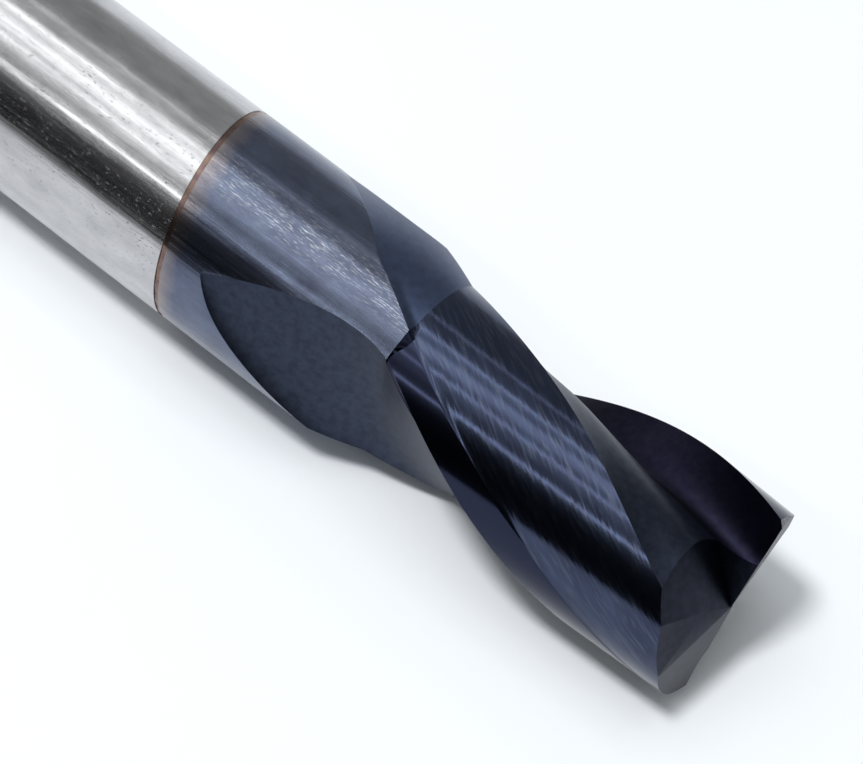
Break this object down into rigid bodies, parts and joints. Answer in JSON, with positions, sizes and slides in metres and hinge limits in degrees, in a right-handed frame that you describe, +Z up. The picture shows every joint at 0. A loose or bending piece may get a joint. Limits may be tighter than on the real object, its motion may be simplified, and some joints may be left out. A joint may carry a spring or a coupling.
{
  "type": "end mill",
  "caption": "Square-end slot drill in solid carbide with right-hand helical flutes, a dark coated cutting end and a plain bright ground shank, lying on its side.",
  "frame": {"origin": "centre of the shank's flat rear face", "axes": "+X along the tool axis towards the cutting end, +Z up as the tool lies on its side, +Y across it"},
  "size_m": [0.083, 0.012, 0.012],
  "materials": {
    "bare_carbide": "cylindrically ground and polished cemented carbide, bare",
    "gold_nitride": "thin gold to orange-brown titanium nitride layer",
    "dark_nitride": "blue-grey to violet-black titanium aluminium nitride over ground carbide"
  },
  "bodies": {
    "root": {"carbide_body": "bare_carbide", "adhesion_coat": "gold_nitride", "top_coat": "dark_nitride"}
  },
  "joints": []
}
